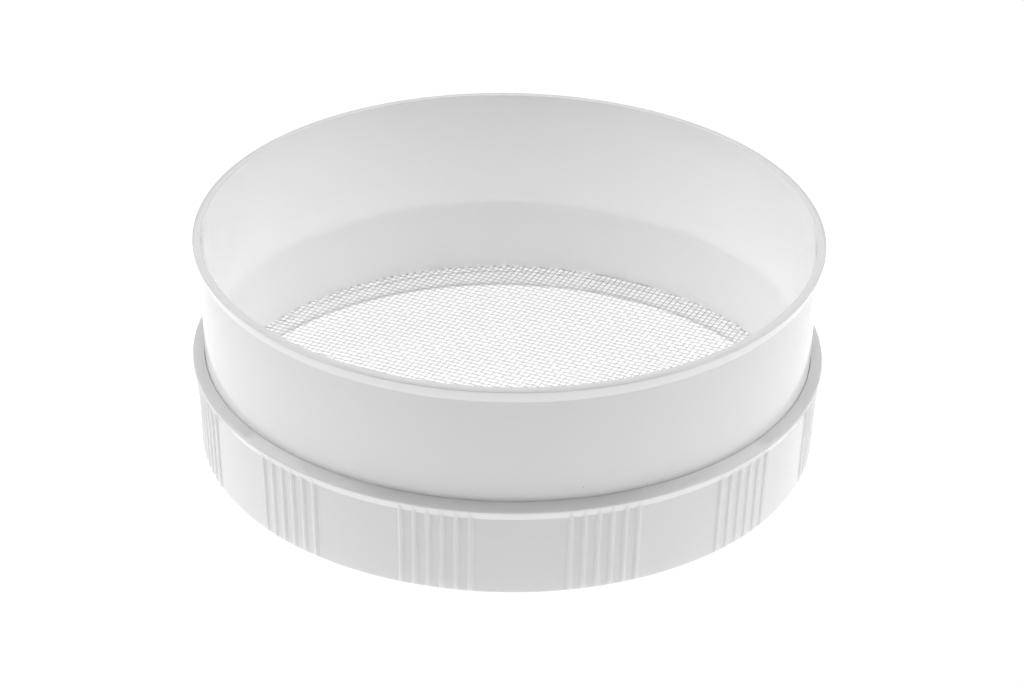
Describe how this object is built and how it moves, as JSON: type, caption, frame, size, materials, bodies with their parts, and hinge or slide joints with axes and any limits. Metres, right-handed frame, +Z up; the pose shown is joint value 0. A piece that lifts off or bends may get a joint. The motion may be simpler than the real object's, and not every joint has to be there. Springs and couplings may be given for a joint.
{
  "type": "double sieve strainer",
  "caption": "Round white plastic double sieve strainer: a coarse sieve with a tall beaded wall nested in a short ribbed fine sieve.",
  "frame": {"origin": "centre of the foot, on the surface that the strainer stands on", "axes": "+Z up along the axis of both sieves; -Y faces the picture's viewer; the grip ribs and the weave are turned about Z as the picture shows them"},
  "size_m": [0.2018, 0.2018, 0.0723],
  "materials": {
    "white_plastic": "glossy",
    "steel_wire": "drawn wire",
    "white_cloth": "woven"
  },
  "bodies": {
    "fine_sieve": {"fine_sieve_body": "white_plastic", "fine_mesh_cloth": "white_cloth", "fine_mesh_retaining_ring": "white_plastic"},
    "coarse_sieve": {"coarse_sieve_body": "white_plastic", "coarse_mesh_warp_wires": "steel_wire", "coarse_mesh_weft_wires": "steel_wire", "coarse_mesh_retaining_ring": "white_plastic"}
  },
  "joints": [
    {"name": "coarse_sieve_lift", "type": "slide", "parent": "fine_sieve", "child": "coarse_sieve", "axis": [0, 0, 1], "range_m": [0, 0.06]}
  ]
}
